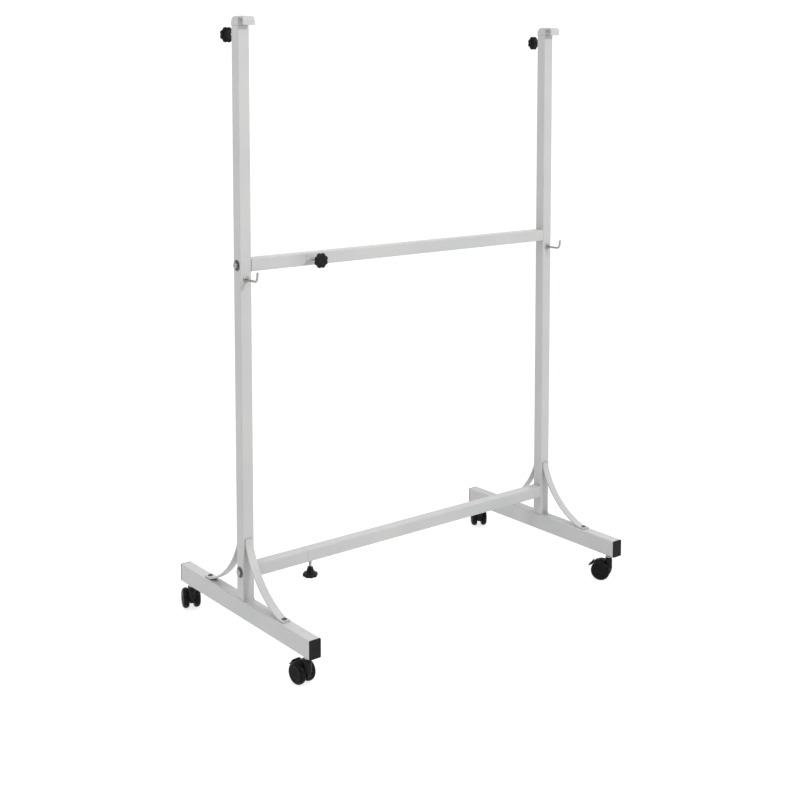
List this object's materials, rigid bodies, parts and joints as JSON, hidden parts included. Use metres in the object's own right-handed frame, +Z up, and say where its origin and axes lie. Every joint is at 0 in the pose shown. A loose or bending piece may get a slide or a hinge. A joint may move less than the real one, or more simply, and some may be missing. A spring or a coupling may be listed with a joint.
{
  "type": "mobile board stand",
  "caption": "mobile stand for a board or backdrop panel: end frames on casters joined by telescopic rails, with wire hooks below and sliding clamped hooks above",
  "frame": {"origin": "on the floor, under the middle of the stand's bounding box; the uprights stand 9 mm forward of it and their midpoint 10 mm left of it", "axes": "+X along the rails from the fixed left frame to the sliding right frame, -Y the front where the board hangs, +Z up"},
  "size_m": [0.9511, 0.5439, 1.35],
  "materials": {
    "powder_coat_white": "white powder coat with a fine orange peel",
    "black_plastic": "moulded, lightly textured",
    "black_wheel_plastic": "moulded, worn matt on the tread",
    "zinc_plated_steel": "bright zinc plate"
  },
  "bodies": {
    "left_frame": {"left_foot_beam": "powder_coat_white", "left_front_end_cap": "black_plastic", "left_rear_end_cap": "black_plastic", "left_upright": "powder_coat_white", "left_front_brace": "powder_coat_white", "left_rear_brace": "powder_coat_white", "left_wire_hook": "zinc_plated_steel", "left_wire_hook_nut": "zinc_plated_steel", "left_upper_bolt": "zinc_plated_steel", "left_lower_bolt": "zinc_plated_steel", "front_left_caster_stem": "zinc_plated_steel", "rear_left_caster_stem": "zinc_plated_steel", "upper_rail_stub": "powder_coat_white", "lower_rail_stub": "powder_coat_white", "upper_inner_tube": "zinc_plated_steel", "lower_inner_tube": "zinc_plated_steel"},
    "right_frame": {"right_foot_beam": "powder_coat_white", "right_front_end_cap": "black_plastic", "right_rear_end_cap": "black_plastic", "right_upright": "powder_coat_white", "right_front_brace": "powder_coat_white", "right_rear_brace": "powder_coat_white", "right_wire_hook": "zinc_plated_steel", "right_wire_hook_nut": "zinc_plated_steel", "right_upper_bolt": "zinc_plated_steel", "right_lower_bolt": "zinc_plated_steel", "front_right_caster_stem": "zinc_plated_steel", "rear_right_caster_stem": "zinc_plated_steel", "upper_rail_tube": "powder_coat_white", "lower_rail_tube": "powder_coat_white"},
    "left_hook": {"left_top_hook": "powder_coat_white"},
    "left_hook_clamp": {"left_hook_knob": "black_plastic", "left_hook_knob_stud": "zinc_plated_steel"},
    "right_hook": {"right_top_hook": "powder_coat_white"},
    "right_hook_clamp": {"right_hook_knob": "black_plastic", "right_hook_knob_stud": "zinc_plated_steel"},
    "upper_rail_clamp": {"upper_rail_knob": "black_plastic", "upper_rail_knob_stud": "zinc_plated_steel"},
    "lower_rail_clamp": {"lower_rail_knob": "black_plastic", "lower_rail_knob_stud": "zinc_plated_steel"},
    "front_left_caster": {"front_left_caster_hood": "black_plastic", "front_left_caster_axle": "zinc_plated_steel"},
    "front_left_left_wheel": {"front_left_caster_left_wheel": "black_wheel_plastic"},
    "front_left_right_wheel": {"front_left_caster_right_wheel": "black_wheel_plastic"},
    "front_left_brake": {"front_left_brake_lever": "black_plastic"},
    "rear_left_caster": {"rear_left_caster_hood": "black_plastic", "rear_left_caster_axle": "zinc_plated_steel"},
    "rear_left_left_wheel": {"rear_left_caster_left_wheel": "black_wheel_plastic"},
    "rear_left_right_wheel": {"rear_left_caster_right_wheel": "black_wheel_plastic"},
    "front_right_caster": {"front_right_caster_hood": "black_plastic", "front_right_caster_axle": "zinc_plated_steel"},
    "front_right_left_wheel": {"front_right_caster_left_wheel": "black_wheel_plastic"},
    "front_right_right_wheel": {"front_right_caster_right_wheel": "black_wheel_plastic"},
    "front_right_brake": {"front_right_brake_lever": "black_plastic"},
    "rear_right_caster": {"rear_right_caster_hood": "black_plastic", "rear_right_caster_axle": "zinc_plated_steel"},
    "rear_right_left_wheel": {"rear_right_caster_left_wheel": "black_wheel_plastic"},
    "rear_right_right_wheel": {"rear_right_caster_right_wheel": "black_wheel_plastic"}
  },
  "joints": [
    {"name": "width_slide", "type": "slide", "parent": "left_frame", "child": "right_frame", "axis": [1, 0, 0], "range_m": [0, 0.4]},
    {"name": "left_hook_slide", "type": "slide", "parent": "left_frame", "child": "left_hook", "axis": [0, 0, 1], "range_m": [0, 0.36]},
    {"name": "left_hook_clamp_turn", "type": "hinge", "parent": "left_frame", "child": "left_hook_clamp", "pos_m": [-0.455, 0.04375, 1.3135], "axis": [0, 1, 0], "range_deg": [0, 360]},
    {"name": "right_hook_slide", "type": "slide", "parent": "right_frame", "child": "right_hook", "axis": [0, 0, 1], "range_m": [0, 0.36]},
    {"name": "right_hook_clamp_turn", "type": "hinge", "parent": "right_frame", "child": "right_hook_clamp", "pos_m": [0.435, 0.03275, 1.3135], "axis": [0, 1, 0], "range_deg": [0, 360]},
    {"name": "upper_rail_clamp_turn", "type": "hinge", "parent": "right_frame", "child": "upper_rail_clamp", "pos_m": [-0.287, -0.05775, 0.829], "axis": [0, -1, 0], "range_deg": [0, 360]},
    {"name": "lower_rail_clamp_turn", "type": "hinge", "parent": "right_frame", "child": "lower_rail_clamp", "pos_m": [-0.287, -0.009, 0.11625], "axis": [0, 0, -1], "range_deg": [0, 360]},
    {"name": "front_left_swivel", "type": "hinge", "parent": "left_frame", "child": "front_left_caster", "pos_m": [-0.455, -0.245, 0.05], "axis": [0, 0, 1], "continuous": true},
    {"name": "front_left_left_wheel_spin", "type": "hinge", "parent": "front_left_caster", "child": "front_left_left_wheel", "pos_m": [-0.45688, -0.2271, 0.0235], "axis": [0.9945, 0.1045, 0], "continuous": true},
    {"name": "front_left_right_wheel_spin", "type": "hinge", "parent": "front_left_caster", "child": "front_left_right_wheel", "pos_m": [-0.45688, -0.2271, 0.0235], "axis": [0.9945, 0.1045, 0], "continuous": true},
    {"name": "front_left_brake_press", "type": "hinge", "parent": "front_left_caster", "child": "front_left_brake", "pos_m": [-0.45885, -0.20838, 0.04299], "axis": [0.9945, 0.1045, 0], "range_deg": [-12, 0]},
    {"name": "rear_left_swivel", "type": "hinge", "parent": "left_frame", "child": "rear_left_caster", "pos_m": [-0.455, 0.227, 0.05], "axis": [0, 0, 1], "continuous": true},
    {"name": "rear_left_left_wheel_spin", "type": "hinge", "parent": "rear_left_caster", "child": "rear_left_left_wheel", "pos_m": [-0.44884, 0.24391, 0.0235], "axis": [0.9397, -0.342, 0], "continuous": true},
    {"name": "rear_left_right_wheel_spin", "type": "hinge", "parent": "rear_left_caster", "child": "rear_left_right_wheel", "pos_m": [-0.44884, 0.24391, 0.0235], "axis": [0.9397, -0.342, 0], "continuous": true},
    {"name": "front_right_swivel", "type": "hinge", "parent": "right_frame", "child": "front_right_caster", "pos_m": [0.435, -0.245, 0.05], "axis": [0, 0, 1], "continuous": true},
    {"name": "front_right_left_wheel_spin", "type": "hinge", "parent": "front_right_caster", "child": "front_right_left_wheel", "pos_m": [0.426, -0.22941, 0.0235], "axis": [0.866, 0.5, 0], "continuous": true},
    {"name": "front_right_right_wheel_spin", "type": "hinge", "parent": "front_right_caster", "child": "front_right_right_wheel", "pos_m": [0.426, -0.22941, 0.0235], "axis": [0.866, 0.5, 0], "continuous": true},
    {"name": "front_right_brake_press", "type": "hinge", "parent": "front_right_caster", "child": "front_right_brake", "pos_m": [0.41659, -0.21311, 0.04299], "axis": [0.866, 0.5, 0], "range_deg": [-12, 0]},
    {"name": "rear_right_swivel", "type": "hinge", "parent": "right_frame", "child": "rear_right_caster", "pos_m": [0.435, 0.227, 0.05], "axis": [0, 0, 1], "continuous": true},
    {"name": "rear_right_left_wheel_spin", "type": "hinge", "parent": "rear_right_caster", "child": "rear_right_left_wheel", "pos_m": [0.44507, 0.24192, 0.0235], "axis": [0.829, -0.5592, 0], "continuous": true},
    {"name": "rear_right_right_wheel_spin", "type": "hinge", "parent": "rear_right_caster", "child": "rear_right_right_wheel", "pos_m": [0.44507, 0.24192, 0.0235], "axis": [0.829, -0.5592, 0], "continuous": true}
  ]
}
